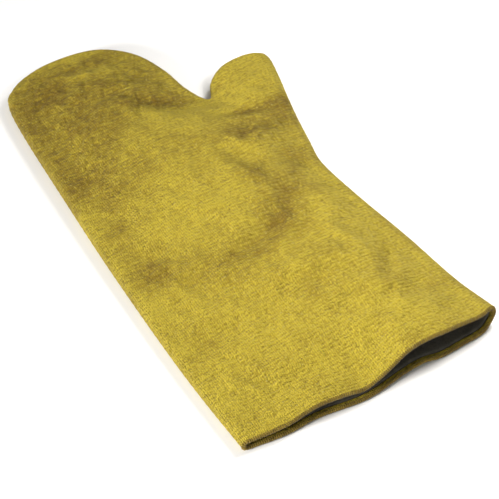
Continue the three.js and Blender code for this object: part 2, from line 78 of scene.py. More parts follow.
# Plan and heights of the mitten, in millimetres, as its solids have them. Each outline
# row is x, y and the radius of the rounded side there.
mittenShape = {
    "planShift": (1.748, 2.358),
    "outline": [
        (-101, -190, 5), (-103, -115, 5), (-101, -20, 5.5), (-97, 60, 6), (-92.5, 130, 5.5),
        (-88, 163, 5.2), (-80, 174, 5.2), (-67, 182, 5.2), (-46, 187, 5.5), (-19, 185.5, 6),
        (1, 178, 6), (18, 160, 6), (27, 134, 6), (30.5, 109, 6), (38.5, 91.5, 5.5),
        (48, 106, 6), (62, 115.5, 7), (80, 118.5, 7), (93, 115.5, 7), (99.5, 107, 7),
        (94.5, 84, 8), (83.5, 46, 8.5), (75.5, 12, 8.5), (71, -12, 8.5), (74, -52, 9),
        (80.5, -100, 9), (85, -150, 9.6), (90.5, -190, 11.5),
    ],
    "marks": {
        "tipLeft": 5, "tipRight": 11, "crotch": 14, "thumbLeft": 16, "thumbRight": 19,
        "wrist": 22,
    },
    "stations": [-80, -40, 0, 40, 80],
    # y, then the height of the upper side at each station
    "sections": [
        (-190, 12, 15, 18, 28.5, 28), (-140, 15, 18, 22, 28, 26), (-80, 17, 21, 25, 28, 25),
        (-10, 18, 24, 26, 27, 23), (50, 18, 24, 26, 25, 23), (100, 17, 22, 22, 20, 22),
        (150, 14, 19, 18, 17, 20), (190, 12, 15, 14, 14, 14),
    ],
    # x, y, heading in degrees, reach along, reach across, rise
    "folds": [
        (56, -50, -68, 38, 13, 5), (18, -42, 34, 46, 12, -4), (5, -92, -8, 40, 12, 2.5),
        (58, 57, -14, 26, 9, -4), (42, 81, 14, 30, 9, 2.4), (45, 26, -8, 28, 10, 3),
        (58, -6, -45, 15, 9, -4), (22, 10, -40, 16, 9, -2), (5, 98, -26, 26, 9, -3),
        (-78, 56, 20, 22, 12, -2.5), (-84, -32, 15, 22, 12, -2.5),
        (-78, -112, 10, 26, 11, -2.5), (-45, -165, 8, 30, 9, -1.5),
        (54, -108, 60, 18, 9, -2.5), (58, -146, -5, 20, 9, -2.5),
        (-16, -192, 84, 34, 11, -3), (17, -192, 84, 40, 12, 3), (-56, 150, 30, 26, 12, -2),
    ],
    # finer folds and puckers that only the cloth shows, in the same columns
    "wrinkles": [
        (22, -64, 34, 24, 5, -1.2), (-20, -58, 12, 22, 6, -1.0), (64, -20, -40, 14, 4, -1.2),
        (72, 50, -20, 12, 5, -1.2), (38, 62, -30, 12, 4, -1.0), (50, 44, -8, 18, 5, -1.2),
        (30, 84, 30, 12, 5, -1.0), (0, 152, 20, 6, 3, 0.9), (-77, 165, 60, 7, 4, -1.0),
        (40, -88, -50, 18, 6, 1.0), (72, -140, 70, 16, 5, -1.0), (-60, -60, 20, 18, 6, -0.8),
        (-40, 20, 25, 16, 6, -0.7), (-20, 120, -20, 16, 6, -0.7), (-88, -75, 20, 12, 5, -0.8),
    ],
    # patches of dirt and wear that also serve as painted shade, and below 0 as painted light: x,
    # y, heading, reach along, reach across, amount, which is below 0 where the cloth is painted
    # lighter than elsewhere
    "soiled": [
        (60, 57, -10, 28, 8, 0.65), (50, 36, 0, 32, 14, 0.85), (80, 56, 70, 20, 8, 0.5),
        (49, 93, 65, 10, 6, 0.5), (68, 102, -10, 30, 15, -0.7), (22, 92, -40, 14, 9, 0.25),
        (70, -12, 60, 10, 7, 0.25), (47, -7, -60, 17, 9, 0.6), (38, 24, -50, 20, 9, 0.4),
        (18, -18, 80, 34, 14, 0.45), (36, -28, -50, 14, 10, 0.45), (12, -52, 30, 24, 9, 0.45),
        (-26, -66, 12, 34, 13, 0.75), (-72, -52, 10, 26, 14, 0.35), (4, 100, -26, 22, 9, 0.65),
        (-48, 116, 15, 44, 26, 0.85), (-66, 66, 60, 34, 22, 0.7), (-58, 36, 10, 34, 14, 0.4),
        (-28, 52, -20, 24, 18, 0.25), (-82, 4, 80, 34, 12, 0.35), (-24, 14, 20, 30, 14, 0.3),
        (8, 136, 60, 34, 18, 0.55), (-88, 128, 80, 36, 12, 0.3), (-56, 156, 25, 34, 12, 0.6),
        (-24, 168, 0, 36, 10, 0.6), (-86, -40, 15, 18, 12, 0.55), (-84, -112, 5, 20, 10, 0.1),
        (-30, -88, 5, 30, 10, 0.25), (-62, -160, 10, 20, 8, 0.3), (-30, -178, 10, 14, 5, 0.3),
        (-20, -112, 10, 30, 14, 0.25), (50, -110, 70, 14, 8, 0.35), (72, -104, 80, 28, 9, 0.35),
        (64, -150, 0, 14, 8, 0.3), (38, -136, 0, 12, 8, 0.35), (25, -180, 20, 14, 5, 0.3),
        (-70, 165, 35, 26, 14, 0.6), (-46, 141, -10, 28, 12, 0.65), (-88, 72, 80, 34, 12, 0.2),
        (16, 110, -60, 22, 10, 0.4), (-74, -46, 10, 22, 12, 0.3), (66, 8, 70, 18, 8, 0.15),
        (18, -6, 80, 16, 10, 0.35), (42, -18, -60, 14, 8, 0.3), (-20, 144, 0, 20, 10, 0.15),
        (-16, -167, 4, 56, 12, -0.9), (-86, 84, 84, 40, 8, 0.4), (48, -68, -62, 26, 8, -0.7),
        (-92, -136, 88, 34, 7, -0.4), (40, 76, 14, 40, 10, -1.2), (84, -158, 85, 22, 8, 0.4),
        (-84, 128, 84, 26, 9, 0.2), (54, -172, 0, 18, 9, -0.7), (62, -34, -64, 26, 9, -0.8),
    ],
    # x, reach past the cuff line, lift of the lower lip
    "lipWaves": [
        (-101, -4, 0), (-72, -1, 0), (-48, -1.5, 0.5), (-15, 2, 0), (20, -1.5, 2),
        (32, -2, 2.5), (45, -1, 0.5), (62, -2, 0.5), (76, -3, 2), (91, -7, 0),
    ],
    "lipWaveRun": 55,  # reach of the lips' waves behind the cuff line
    "foldGain": 1.45,  # depth of the folds, against that of the solids
    "ripples": (0.8, 0.4, 0.1),  # rise of the wide, middle and small unevenness
    "wornRipple": 0.5,  # and what wear adds to the small one
    "riseRun": 14,  # how fast the upper side climbs from its rounded edge
    "squareReach": 29.3,  # near the cuff the sides run straight across
    "squareFade": 60,
}

# The layers of cloth, in millimetres
clothLayers = {
    "cuffY": -190,
    "clothThick": 2.2,
    "hemThick": 3.2,
    "hemDepth": 3.4,
    "hemStep": 0.4,
    "liningGap": 0.3,
    "liningThick": 1.2,
    "seamDip": 0.9,
    "seamSpread": 0.16,  # share of a quarter turn over which the seam pulls the side in
    "seamPucker": 0.35,
    "puckerSpread": 2.6,  # the puckers reach this much further than the dip
    "puckerPitch": 6.5,
    "seamGap": 0.1,
}

# Faces along each stretch of the outline
meshRows = {
    "gauntlet": 76, "palm": 40, "finger": 52, "tip": 34, "across": 96, "arc": 9, "nose": 10,
}


def splineAt(values, t):
    # A smooth curve through the rows of values, read at position t counted in rows
    values = np.asarray(values, float)
    t = np.asarray(t, float)
    last = len(values) - 1
    i = np.clip(np.floor(t).astype(int), 0, last - 1)
    f = np.clip(t, 0, last) - i

    def row(k):
        k = np.clip(k, 0, last)
        return values[k] if values.ndim == 1 else values[k, np.arange(values.shape[1])]

    before, start, end, after = row(i - 1), row(i), row(i + 1), row(i + 2)
    leave, arrive = (end - before) / 2, (after - start) / 2
    return (
        (2 * f**3 - 3 * f**2 + 1) * start
        + (f**3 - 2 * f**2 + f) * leave
        + (3 * f**2 - 2 * f**3) * end
        + (f**3 - f**2) * arrive
    )


def rowOf(rising, v):
    # position of v among rising values, counted in rows
    return np.interp(v, rising, np.arange(len(rising)))


def fadeOver(distance, run):
    # 1 up to no distance, 0 from the run on, smooth in between
    x = np.clip(np.asarray(distance, float) / run, 0, 1)
    return 1 - x * x * (3 - 2 * x)


outline = np.array(mittenShape["outline"], float)
lastRow = len(outline) - 1
cuffY = clothLayers["cuffY"]


def edgeAt(t):
    t = np.atleast_1d(t)
    return np.stack([splineAt(outline[:, 0], t), splineAt(outline[:, 1], t)], -1)


def rollAt(t):
    return splineAt(outline[:, 2], np.atleast_1d(t))


def inwardAt(t):
    # the way into the mitten, level and at right angles to the outline
    t, ahead = np.atleast_1d(t), 0.02
    way = edgeAt(t + ahead) - edgeAt(t - ahead)
    inward = np.stack([way[:, 1], -way[:, 0]], -1)
    inward /= np.linalg.norm(inward, axis=1, keepdims=True)
    reach = cuffY + mittenShape["squareReach"]
    square = fadeOver(edgeAt(t)[:, 1] - reach, mittenShape["squareFade"])[:, None]
    across = np.stack([np.sign(inward[:, 0]), 0 * inward[:, 0]], -1)
    inward = inward * (1 - square) + across * square
    return inward / np.linalg.norm(inward, axis=1, keepdims=True)


def crossingOf(y, start, end):
    # where the outline passes y, between two of its rows, found by halving
    low, high = (start, end) if edgeAt(start)[0, 1] < edgeAt(end)[0, 1] else (end, start)
    for _ in range(36):
        middle = (low + high) / 2
        if edgeAt(middle)[0, 1] < y:
            low = middle
        else:
            high = middle
    return (low + high) / 2


chordTs = np.linspace(0, lastRow, lastRow * 60 + 1)
chordPoints, chordRolls = edgeAt(chordTs), rollAt(chordTs)
chordSizes = np.linalg.norm(np.gradient(chordPoints, axis=0), axis=1)


def softEdge(x, y):
    # Distance from the outline and the side's radius there. Every stretch of the outline
    # counts by the inverse sixth power of its distance, so no crease shows in between. On
    # a straight edge the sum is 3 pi / 8 over the fifth power of the distance.
    distance, roll = np.empty(len(x)), np.empty(len(x))
    atOnce = 4000
    for start in range(0, len(x), atOnce):
        part = slice(start, start + atOnce)
        square = (x[part, None] - chordPoints[:, 0]) ** 2
        square += (y[part, None] - chordPoints[:, 1]) ** 2
        pull = chordSizes / square**3
        total = pull.sum(1)
        distance[part] = (3 * math.pi / 8 / total) ** 0.2
        roll[part] = (pull * chordRolls).sum(1) / total
    return distance, roll


def foldsAt(x, y, rows):
    rise = np.zeros(len(x))
    for foldX, foldY, heading, along, across, height in rows:
        c, s = math.cos(math.radians(heading)), math.sin(math.radians(heading))
        dx, dy = x - foldX, y - foldY
        reach = ((dx * c + dy * s) / along) ** 2 + ((dy * c - dx * s) / across) ** 2
        rise += height * np.exp(-reach)
    return rise


def wornAt(x, y):
    return np.clip(foldsAt(x, y, mittenShape["soiled"]), 0, 1)


def ripplesAt(x, y):
    # slight unevenness of soft heavy cloth, with small crumples where it is worn
    first, second, third = mittenShape["ripples"]
    third = third + mittenShape["wornRipple"] * wornAt(x, y)
    rise = np.empty(len(x))
    for k in range(len(x)):
        wide = noise.noise(Vector((x[k] / 21, y[k] / 27, 3.1)))
        middle = noise.noise(Vector((x[k] / 10 + y[k] / 30, y[k] / 13, 8.4)))
        small = noise.noise(Vector((x[k] / 5.5 - y[k] / 20, y[k] / 7, 5.7)))
        rise[k] = first * wide + second * middle + third[k] * small
    return rise


def crownAt(x, y):
    # height of the upper side without its folds
    sections = np.array(mittenShape["sections"], float)
    row = rowOf(sections[:, 0], y)
    columns = np.stack([splineAt(sections[:, k], row) for k in range(1, 6)])
    return splineAt(columns, rowOf(mittenShape["stations"], x))


def waveAt(name, x):
    waves = np.array(mittenShape["lipWaves"], float)
    return splineAt(waves[:, {"reach": 1, "lift": 2}[name]], rowOf(waves[:, 0], x))


class Field:
    # Heights over one set of plan points, worked out once and read at any depth of cloth
    def __init__(self, plan):
        self.plan = plan
        x, y = plan[..., 0].ravel(), plan[..., 1].ravel()
        distance, roll = softEdge(x, y)
        run = np.maximum(distance - roll, 0) / mittenShape["riseRun"]
        share = 1 - (1 + run) * np.exp(-run)
        near = fadeOver(y - cuffY, mittenShape["lipWaveRun"])
        gain = near + mittenShape["foldGain"] * (1 - near)
        crown = crownAt(x, y) + foldsAt(x, y, mittenShape["folds"]) * gain
        crown += foldsAt(x, y, mittenShape["wrinkles"]) * gain + ripplesAt(x, y)
        top = 2 * roll * (1 - share) + crown * share
        lift = np.maximum(waveAt("lift", x), 0) * share * near
        self.top = top.reshape(plan.shape[:-1])
        self.lift = lift.reshape(plan.shape[:-1])

    def points(self, side, inset):
        z = self.top - inset if side > 0 else self.lift + inset
        return np.concatenate([self.plan, z[..., None]], -1)


def bendLip(points):
    x, y = points[..., 0], points[..., 1]
    share = fadeOver(y - cuffY, mittenShape["lipWaveRun"])
    points[..., 1] = y - waveAt("reach", x.ravel()).reshape(x.shape) * share
    return points


# Positions on the outline where the mesh has its lines
marks = mittenShape["marks"]
noseRadius = clothLayers["hemThick"] / 2
clothStartY = cuffY + noseRadius
wristY, crotchY = outline[marks["wrist"], 1], outline[marks["crotch"], 1]


def steps(start, end, count):
    return list(np.linspace(start, end, count + 1)[1:])


def hemRows():
    # The rows of the gauntlet have one on each side of the step behind the hem
    first = steps(clothStartY, cuffY + clothLayers["hemDepth"], 2)
    second = [first[-1] + clothLayers["hemStep"]]
    return [clothStartY] + first + second + steps(second[0], wristY, meshRows["gauntlet"])


gauntletYs = hemRows()
palmYs = steps(wristY, crotchY, meshRows["palm"])
leftTs = [crossingOf(y, 0, marks["tipLeft"]) for y in gauntletYs + palmYs]
rightTs = [crossingOf(y, marks["wrist"], lastRow) for y in gauntletYs][::-1]
rightTs[0] = marks["wrist"]
stretches = [
    ("tipLeft", "finger"), ("tipRight", "across"), ("crotch", "finger"),
    ("thumbLeft", "tip"), ("thumbRight", "palm"), ("wrist", "tip"),
]
lineTs = list(leftTs)
corners = [len(leftTs) - 1]
for mark, rows in stretches:
    lineTs += steps(lineTs[-1], marks[mark], meshRows[rows])
    corners.append(len(lineTs) - 1)
lineTs = np.array(lineTs + rightTs[1:])
leftTop, cornerLeft, cornerRight, crotchLine, thumbLeftLine, thumbRightLine, wristLine = corners

rimEdge, rimInward, rimRoll = edgeAt(lineTs), inwardAt(lineTs), rollAt(lineTs)
border = rimEdge + rimInward * rimRoll[:, None]
rimLength = np.concatenate([[0], np.cumsum(np.linalg.norm(np.diff(rimEdge, axis=0), axis=1))])


def between(a, b, count):
    return a + (b - a) * np.linspace(0, 1, count + 1)[:, None]


def patch(bottom, top, left, right):
    # a net between four sides that share their corners
    u = np.linspace(0, 1, len(bottom))[None, :, None]
    v = np.linspace(0, 1, len(left))[:, None, None]
    across = left[:, None] * (1 - u) + right[:, None] * u
    along = bottom[None] * (1 - v) + top[None] * v
    low = bottom[0] * (1 - u) + bottom[-1] * u
    high = top[0] * (1 - u) + top[-1] * u
    return across + along - low * (1 - v) - high * v


thumbBase = between(border[wristLine], border[crotchLine], meshRows["palm"])
cuffLine = between(border[0], border[-1], meshRows["across"])
palmTop = between(border[leftTop], border[crotchLine], meshRows["across"])
bodyRight = np.concatenate([border[wristLine:][::-1], thumbBase[1:]])
nets = [
    patch(cuffLine, palmTop, border[: leftTop + 1], bodyRight),
    patch(
        palmTop, border[cornerLeft : cornerRight + 1], border[leftTop : cornerLeft + 1],
        border[cornerRight : crotchLine + 1][::-1],
    ),
    patch(
        thumbBase[::-1], border[thumbLeftLine : thumbRightLine + 1],
        border[crotchLine : thumbLeftLine + 1], border[thumbRightLine : wristLine + 1][::-1],
    ),
]
fields = [Field(net) for net in nets]
rimField = Field(border)
print("plan of the mitten ready:", sum(net.shape[0] * net.shape[1] for net in nets), "points")

# Natural wrinkles come from a short cloth simulation. The upper cloth is held along its rim
# and lightly everywhere else, grows a little, and buckles.
wrinkleLook = {
    "grow": 0.022,
    "hold": 0.06,
    "bend": 5.0,
    "stretch": 15.0,
    "shearShare": 0.3,  # of the stretch stiffness
    "mass": 0.02,
    "damping": 2.0,
    "quality": 4,
    "frames": 14,
    "rimRun": 14,  # millimetres over which the rim lets go
    "lipRun": 1.4,  # the same behind the cuff's lip, as a share of the rim's
    "smoothing": 50,  # rounds of averaging that find the broad bulge, which is left out
    "share": (0.8, 0.8),  # of the simulated height: everywhere, and added where it is worn
    "cap": 2.2,  # millimetres
}


def simulatedMove(spots, quads, held, look):
    # how far each spot has moved once the cloth has settled, in millimetres
    mesh = bpy.data.meshes.new("upperCloth")
    mesh.from_pydata((spots * mm).tolist(), [], quads.tolist())
    sheet = newObject("upperCloth", mesh)
    group = sheet.vertex_groups.new(name="held")
    for k, weight in enumerate(held.tolist()):
        group.add([k], weight, "REPLACE")
    cloth = sheet.modifiers.new("buckle", "CLOTH")
    settings = cloth.settings
    settings.vertex_group_mass = "held"
    settings.quality = look["quality"]
    settings.mass = look["mass"]
    settings.tension_stiffness = look["stretch"]
    settings.compression_stiffness = look["stretch"]
    settings.shear_stiffness = look["stretch"] * look["shearShare"]
    settings.bending_stiffness = look["bend"]
    settings.shrink_min = -look["grow"]
    settings.shrink_max = -look["grow"]
    settings.air_damping = look["damping"]
    settings.effector_weights.gravity = 0
    cloth.collision_settings.use_collision = False
    cloth.point_cache.frame_start = 1
    cloth.point_cache.frame_end = look["frames"]
    for step in range(1, look["frames"] + 1):
        bpy.context.scene.frame_set(step)
    settled = sheet.evaluated_get(bpy.context.evaluated_depsgraph_get()).data
    moved = np.empty(len(spots) * 3)
    settled.vertices.foreach_get("co", moved)
    bpy.data.objects.remove(sheet)
    bpy.context.scene.frame_set(1)
    return moved.reshape(-1, 3) / mm - spots


def weld(points):
    # which points to keep of those that fall together, and the number of each one's kept point
    keys = np.round(points * weldSteps).astype(np.int64)
    _, kept, numbers = np.unique(keys, axis=0, return_index=True, return_inverse=True)
    return kept, numbers.ravel()


def quadsOf(grid):
    # the four corners of each face of a grid
    return np.stack([grid[:-1, :-1], grid[:-1, 1:], grid[1:, 1:], grid[1:, :-1]], 2)


def wrinkleFields(look):
    # adds the simulated wrinkles to the heights of the upper side
    points = np.concatenate([field.points(1, 0).reshape(-1, 3) for field in fields])
    kept, numbers = weld(points[:, :2])
    spots = points[kept]
    quads, parts = [], []
    start = 0
    for field in fields:
        part = numbers[start : start + field.top.size].reshape(field.top.shape)
        start += field.top.size
        parts.append(part)
        quads.append(quadsOf(part).reshape(-1, 4))
    quads = np.concatenate(quads)
    x, y = spots[:, 0], spots[:, 1]
    distance, roll = softEdge(x, y)
    free = 1 - fadeOver(distance - roll, look["rimRun"])
    free *= 1 - fadeOver(y - clothStartY, look["rimRun"] * look["lipRun"])
    rise = simulatedMove(spots, quads, 1 - free * (1 - look["hold"]), look)[:, 2]
    sides = np.concatenate([quads[:, [k, (k + 1) % 4]] for k in range(4)])
    count = np.bincount(sides.ravel(), minlength=len(rise))
    broad = rise.copy()
    for _ in range(look["smoothing"]):
        total = np.bincount(sides[:, 0], broad[sides[:, 1]], len(rise))
        total += np.bincount(sides[:, 1], broad[sides[:, 0]], len(rise))
        broad = 0.5 * broad + 0.5 * total / count
    always, whereWorn = look["share"]
    rise = (rise - broad) * (always + whereWorn * wornAt(x, y)) * free
    rise = look["cap"] * np.tanh(rise / look["cap"])
    for field, part in zip(fields, parts):
        field.top += rise[part]
    return rise


wrinkles = wrinkleFields(wrinkleLook)
print("wrinkles ready, average height in millimetres:", round(float(abs(wrinkles).mean()), 4))


def insideDepth(y):
    # how thick the cloth is: two layers up to the hem's back edge, one beyond it
    layers = clothLayers
    beyond = np.clip((y - cuffY - layers["hemDepth"]) / layers["hemStep"], 0, 1)
    return layers["hemThick"] + (layers["clothThick"] - layers["hemThick"]) * beyond


class ClothSkin:
    # A closed skin gathered as loose four-cornered faces, whose equal corners are joined
    def __init__(self):
        self.faces = []
        self.maps = []

    def grid(self, points, weave, turned):
        for store, values in ((self.faces, points), (self.maps, weave)):
            quads = quadsOf(values).reshape(-1, 4, values.shape[-1])
            store.append(quads[:, ::-1] if turned else quads)

    def object(self, name):
        corners = bendLip(np.concatenate(self.faces).reshape(-1, 3))
        kept, numbers = weld(corners)
        points, faces = corners[kept], numbers.reshape(-1, 4)
        weave = np.concatenate(self.maps)
        # a skin that is inside out has a volume below nothing, and is turned round
        a, b, c, d = (points[faces[:, k]] for k in range(4))
        volume = (a * (np.cross(b, c) + np.cross(c, d))).sum()
        if volume < 0:
            faces, weave = faces[:, ::-1], weave[:, ::-1]
        points[:, :2] += mittenShape["planShift"]
        made, maps = [], []
        for quad, spots in zip(faces.tolist(), weave.tolist()):
            apart = [k for k in range(4) if quad[k] != quad[k - 1]]
            if len(apart) > 2:
                made.append([quad[k] for k in apart])
                maps += [spots[k] for k in apart]
        mesh = bpy.data.meshes.new(name)
        mesh.from_pydata((points * mm).tolist(), [], made)
        layer = mesh.uv_layers.new(name="weave")
        layer.data.foreach_set("uv", (np.array(maps) * mm).ravel())
        mesh.polygons.foreach_set("use_smooth", [True] * len(mesh.polygons))
        mesh.update()
        return newObject(name, mesh)


def sideArc(edge, inward, roll, angles, inset, seam, length):
    # The rounded side: one row for each angle from the seam towards the border
    angles = np.asarray(angles)[:, None]
    layers = clothLayers
    pull = 0
    if seam:
        near = np.exp(-((angles / (layers["seamSpread"] * quarterTurn)) ** 2))
        pucker = 0.5 + 0.5 * np.sin(2 * math.pi * length / layers["puckerPitch"])
        spread = layers["puckerSpread"] * layers["seamSpread"]
        wide = np.exp(-((angles / (spread * quarterTurn)) ** 2))
        pull = layers["seamDip"] * near + layers["seamPucker"] * wide * pucker
    radius = roll - inset - pull
    reach = (roll - radius * np.cos(angles))[..., None]
    at = edge + inward * reach
    z = roll + radius * np.sin(angles)
    return np.concatenate([at, z[..., None]], -1)


def arcPoints(side, inset, rows, split, seam):
    # The rounded side of one panel along the rim. Its last row takes the field's height.
    angles = side * np.linspace(0, quarterTurn, meshRows["arc"] + 1)
    edge, inward, roll = rimEdge[rows], rimInward[rows], rimRoll[rows]
    made = sideArc(edge, inward, roll, angles, inset, seam, rimLength[rows])
    made[0, :, 2] += split
    z = rimField.top[rows] - inset if side > 0 else rimField.lift[rows] + inset
    made[-1, :, 2] = z
    away = (quarterTurn - np.abs(angles))[:, None, None] * roll[None, :, None]
    weave = border[rows] - inward * away
    return made, weave


def mouthLine(y, side, inset, split, seam):
    # The cuff's edge in one panel at one y and depth, from the left seam to the right one
    ends = []
    for low, high in ((0, 1), (lastRow - 1, lastRow)):
        t = crossingOf(y, low, high)
        ends.append((edgeAt(t)[0], float(rollAt(t)[0])))
    (leftEdge, leftRoll), (rightEdge, rightRoll) = ends
    angles = side * np.linspace(0, quarterTurn, meshRows["arc"] + 1)
    arcs = []
    for edge, roll, inward, length in (
        (leftEdge, leftRoll, np.array([1.0, 0]), rimLength[0]),
        (rightEdge, rightRoll, np.array([-1.0, 0]), rimLength[-1]),
    ):
        arc = sideArc(
            edge[None], inward[None], np.array([roll]), angles, inset, seam, np.array([length])
        )
        arc[0, :, 2] += split
        arcs.append(arc[:, 0])
    x = np.linspace(leftEdge[0] + leftRoll, rightEdge[0] - rightRoll, meshRows["across"] + 1)
    field = Field(np.stack([x, np.full(len(x), y)], -1)).points(side, inset)
    arcs[0][-1, 2], arcs[1][-1, 2] = field[0, 2], field[-1, 2]
    return np.concatenate([arcs[0], field[1:-1], arcs[1][::-1]])


def clothPanel(name, side):
    # One panel of woven cloth: outside, turned over the hem's round nose, inside
    skin = ClothSkin()
    split = side * clothLayers["seamGap"] / 2
    allRows = np.arange(len(lineTs))
    depthAt = insideDepth(rimEdge[:, 1])
    outer, weave = arcPoints(side, 0, allRows, split, True)
    inner, _ = arcPoints(side, depthAt, allRows, split, False)
    for field in fields:
        plan = field.plan
        skin.grid(field.points(side, 0), plan, side < 0)
        skin.grid(field.points(side, insideDepth(plan[..., 1])), plan, side > 0)
    skin.grid(outer, weave, side > 0)
    skin.grid(inner, weave, side < 0)
    skin.grid(np.stack([outer[0], inner[0]]), np.stack([weave[0], weave[0]]), side < 0)
    rings, spots = [], []
    flat = np.concatenate([weave[:, 0], cuffLine[1:-1], weave[::-1, -1]])
    for angle in np.linspace(0, math.pi, meshRows["nose"] + 1):
        y = clothStartY - noseRadius * math.sin(angle)
        inset = noseRadius * (1 - math.cos(angle))
        blend = math.cos(angle / 2) ** 2
        rings.append(mouthLine(y, side, inset, split, True) * blend
                     + mouthLine(y, side, inset, split, False) * (1 - blend))
        spots.append(flat - [0, noseRadius * angle])
    rings[0] = np.concatenate([outer[:, 0], fields[0].points(side, 0)[0, 1:-1], outer[::-1, -1]])
    depth = clothLayers["hemThick"]
    rings[-1] = np.concatenate(
        [inner[:, 0], fields[0].points(side, depth)[0, 1:-1], inner[::-1, -1]]
    )
    skin.grid(np.array(rings), np.array(spots), side > 0)
    # the two small faces that close the seam's ends across the hem
    for end in (0, -1):
        loop = np.array([ring[end] for ring in rings])
        hub = np.repeat(loop[:1], len(loop), 0)
        flatLoop = np.repeat(flat[end][None], len(loop), 0)
        skin.grid(np.stack([hub, loop]), np.stack([flatLoop, flatLoop]), (end == 0) == (side > 0))
    return skin.object(name)


backCloth = clothPanel("back_cloth", 1)
palmCloth = clothPanel("palm_cloth", -1)
print("cloth panels ready:", len(backCloth.data.polygons), len(palmCloth.data.polygons), "faces")


def liningBag(name):
    # The dark bag inside both panels, one closed skin
    skin = ClothSkin()
    outerInset = clothLayers["clothThick"] + clothLayers["liningGap"]
    innerInset = outerInset + clothLayers["liningThick"]
    hemBack = cuffY + clothLayers["hemDepth"] + clothLayers["hemStep"] / 2
    firstRow = int(np.argmax(np.array(gauntletYs) > hemBack))
    lastLine = len(lineTs) - 1 - firstRow
    rows = np.arange(firstRow, lastLine + 1)
    ends = {}
    for inset, outside in ((outerInset, True), (innerInset, False)):
        for side in (1, -1):
            for k, field in enumerate(fields):
                start = firstRow if k == 0 else 0
                skin.grid(
                    field.points(side, inset)[start:], field.plan[start:], (side > 0) != outside
                )
            arc, weave = arcPoints(side, inset, rows, 0, False)
            skin.grid(arc, weave, (side > 0) == outside)
            front = fields[0].points(side, inset)[firstRow, 1:-1]
            ends[side, outside] = np.concatenate([arc[:, 0], front, arc[::-1, -1]])
    for side in (1, -1):
        rim = np.stack([ends[side, True], ends[side, False]])
        skin.grid(rim, rim[..., :2], side > 0)
    return skin.object(name)


lining = liningBag("lining_bag")
print("lining ready:", len(lining.data.polygons), "faces")


class Wire:
    # One output of a node, which takes part in Python sums as a number
    def __init__(self, maker, socket):
        self.maker = maker
        self.socket = socket

    def sum(self, operation, other=0.0, swapped=False):
        first, second = (other, self) if swapped else (self, other)
        settings = {"operation": operation}
        return self.maker.node("ShaderNodeMath", settings, {0: first, 1: second})

    def __add__(self, other):
        return self.sum("ADD", other)

    def __sub__(self, other):
        return self.sum("SUBTRACT", other)

    def __rsub__(self, other):
        return self.sum("SUBTRACT", other, True)

    def __mul__(self, other):
        return self.sum("MULTIPLY", other)

    def __truediv__(self, other):
        return self.sum("DIVIDE", other)

    def __rtruediv__(self, other):
        return self.sum("DIVIDE", other, True)

    def __pow__(self, other):
        return self.sum("POWER", other)

    __radd__ = __add__
    __rmul__ = __mul__

    def floor(self):
        return self.sum("FLOOR")

    def fraction(self):
        return self.sum("FRACT")

    def cosine(self):
        return self.sum("COSINE")

    def larger(self, other):
        return self.sum("MAXIMUM", other)

    def between(self, low, high):
        # 0 below low, 1 above high, smooth in between
        settings = {"interpolation_type": "SMOOTHSTEP"}
        return self.maker.node("ShaderNodeMapRange", settings, {0: self, 1: low, 2: high})


class NodeMaker:
    def __init__(self, tree):
        self.tree = tree

    def node(self, kind, settings=None, values=None, out=0):
        made = self.tree.nodes.new(kind)
        for name, value in (settings or {}).items():
            setattr(made, name, value)
        for key, value in (values or {}).items():
            if isinstance(value, Wire):
                self.tree.links.new(value.socket, made.inputs[key])
            else:
                made.inputs[key].default_value = value
        if isinstance(out, tuple):
            return [Wire(self, made.outputs[key]) for key in out]
        return Wire(self, made.outputs[out]) if made.outputs else None

    def mixed(self, factor, first, second):
        settings = {"data_type": "RGBA", "clamp_factor": True}
        return self.node("ShaderNodeMix", settings, {0: factor, 6: first, 7: second}, 2)

    def cloud(self, place, scale, detail=3.0, roughness=0.55):
        values = {"Vector": place, "Scale": scale, "Detail": detail, "Roughness": roughness}
        return self.node("ShaderNodeTexNoise", None, values)

    def bump(self, relief, distance, strength=1.0):
        values = {"Strength": strength, "Distance": distance, "Height": relief}
        return self.node("ShaderNodeBump", None, values)


def startMaterial(name):
    material = bpy.data.materials.new(name)
    material.use_nodes = True
    material.node_tree.nodes.clear()
    return material, NodeMaker(material.node_tree)


def summed(parts, shares):
    # the named parts added up, each by its share
    return sum(parts[name] * share for name, share in shares.items())


def finishMaterial(maker, colour, roughness, normal, constants):
    values = {"Base Color": colour, "Roughness": roughness, "Normal": normal}
    values.update(constants)
    surface = maker.node("ShaderNodeBsdfPrincipled", None, values)
    maker.node("ShaderNodeOutputMaterial", None, {"Surface": surface})


